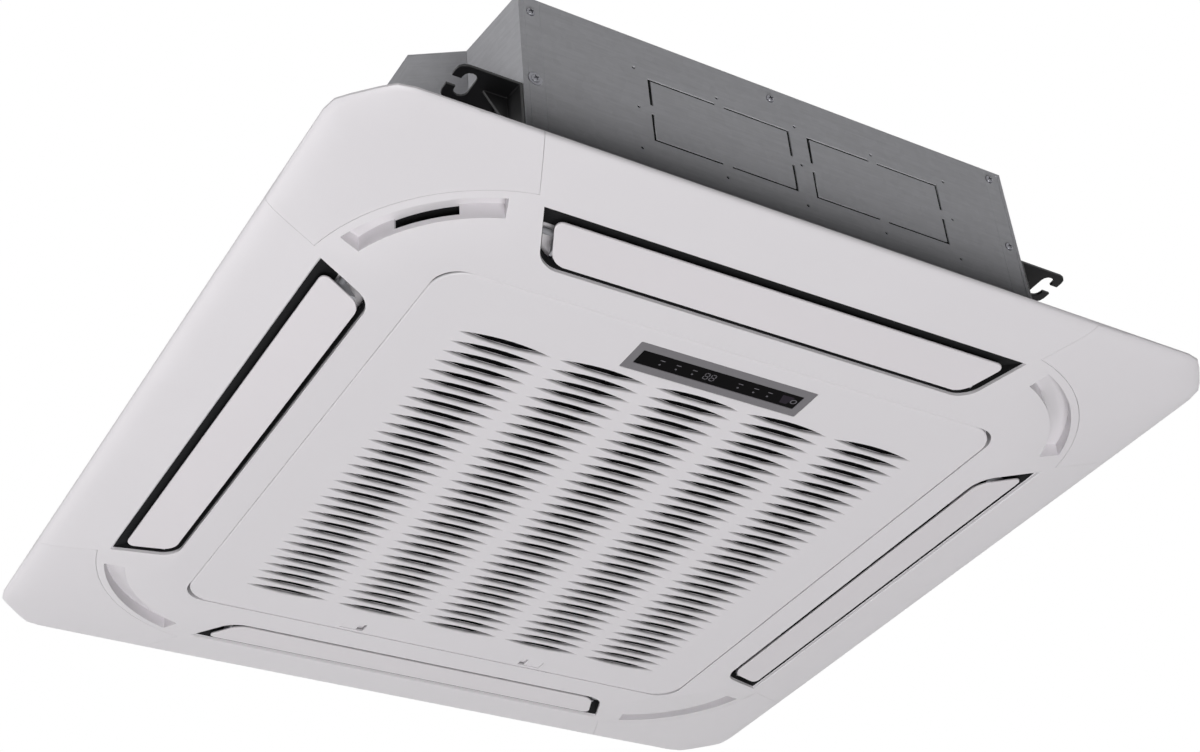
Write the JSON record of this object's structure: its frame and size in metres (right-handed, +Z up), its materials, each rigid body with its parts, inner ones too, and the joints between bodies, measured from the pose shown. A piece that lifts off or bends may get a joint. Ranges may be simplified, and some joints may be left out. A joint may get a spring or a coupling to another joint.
{
  "type": "ceiling cassette air conditioner",
  "caption": "Ceiling cassette indoor unit with a square panel, swinging air vanes, a slotted drop-down intake grille and a sheet-metal casing with hanging hooks",
  "frame": {"origin": "centre of the ceiling plane, on the top of the panel's rim", "axes": "+Z up into the ceiling, -Y the front with the display, +X the right seen from the front"},
  "size_m": [0.95, 0.95, 0.2535],
  "materials": {
    "white_plastic": "fine satin, moulded",
    "grey_plastic": "satin",
    "black_gloss": "gloss",
    "dark_plastic": "matt",
    "circuit_board": "matt",
    "galvanised": "satin, zinc coated",
    "black_steel": "satin",
    "foam": "matt, black beaded foam",
    "gasket_foam": "matt, open cell",
    "fin_stock": "satin fins",
    "copper": "drawn copper tube",
    "brass": "turned",
    "filter_net": "fine net",
    "black_rubber": "matt"
  },
  "bodies": {
    "unit": {"casing_top": "galvanised", "casing_front": "galvanised", "casing_rear": "galvanised", "casing_left": "galvanised", "casing_right": "galvanised", "foam_liner": "foam", "drain_pan": "foam", "panel_gasket": "gasket_foam", "coil": "fin_stock", "tube_plate_rear": "copper", "tube_plate_right": "copper", "coil_baffle": "galvanised", "fan_motor": "grey_plastic", "motor_bracket": "galvanised", "bell_mouth": "dark_plastic", "electrical_box": "galvanised", "electrical_lid": "galvanised", "control_board": "circuit_board", "room_sensor": "black_rubber", "drain_pump": "white_plastic", "drain_pipe": "white_plastic", "gas_pipe": "copper", "liquid_pipe": "copper", "gas_nut": "brass", "liquid_nut": "brass", "pipe_cover": "galvanised", "cable_grommet": "black_rubber", "hook_front_left": "black_steel", "hook_front_right": "black_steel", "hook_rear_left": "black_steel", "hook_rear_right": "black_steel", "panel_frame": "white_plastic", "cover_rear_right": "white_plastic", "cover_rear_left": "white_plastic", "cover_front_left": "white_plastic", "cover_front_right": "white_plastic", "stepper_front": "grey_plastic", "stepper_right": "grey_plastic", "stepper_rear": "grey_plastic", "stepper_left": "grey_plastic"},
    "grille": {"intake_grille": "white_plastic", "filter_frame": "white_plastic", "filter_mesh": "filter_net", "display_bezel": "grey_plastic", "display_window": "black_gloss", "display_board": "grey_plastic"},
    "latch_left": {"latch_left": "white_plastic"},
    "latch_right": {"latch_right": "white_plastic"},
    "rotor": {"fan": "dark_plastic", "fan_nut": "brass"},
    "float": {"float": "white_plastic"},
    "vane_front": {"vane_front": "white_plastic"},
    "vane_right": {"vane_right": "white_plastic"},
    "vane_rear": {"vane_rear": "white_plastic"},
    "vane_left": {"vane_left": "white_plastic"}
  },
  "joints": [
    {"name": "grille_hinge", "type": "hinge", "parent": "unit", "child": "grille", "pos_m": [0, -0.3085, -0.0225], "axis": [-1, 0, 0], "range_deg": [0, 60]},
    {"name": "latch_left_slide", "type": "slide", "parent": "grille", "child": "latch_left", "axis": [1, 0, 0], "range_m": [0, 0.008], "stiffness_N_per_m": 300, "springref_m": -0.002},
    {"name": "latch_right_slide", "type": "slide", "parent": "grille", "child": "latch_right", "axis": [-1, 0, 0], "range_m": [0, 0.008], "stiffness_N_per_m": 300, "springref_m": -0.002},
    {"name": "fan_spin", "type": "hinge", "parent": "unit", "child": "rotor", "pos_m": [0, 0, 0.122], "axis": [0, 0, 1], "continuous": true},
    {"name": "float_slide", "type": "slide", "parent": "unit", "child": "float", "axis": [0, 0, 1], "range_m": [0, 0.012]},
    {"name": "vane_front_hinge", "type": "hinge", "parent": "unit", "child": "vane_front", "pos_m": [0, -0.3735, -0.009], "axis": [1, 0, 0], "range_deg": [0, 40]},
    {"name": "vane_right_hinge", "type": "hinge", "parent": "unit", "child": "vane_right", "pos_m": [0.3735, 0, -0.009], "axis": [0, 1, 0], "range_deg": [0, 40]},
    {"name": "vane_rear_hinge", "type": "hinge", "parent": "unit", "child": "vane_rear", "pos_m": [0, 0.3735, -0.009], "axis": [-1, 0, 0], "range_deg": [0, 40]},
    {"name": "vane_left_hinge", "type": "hinge", "parent": "unit", "child": "vane_left", "pos_m": [-0.3735, 0, -0.009], "axis": [0, -1, 0], "range_deg": [0, 40]}
  ]
}
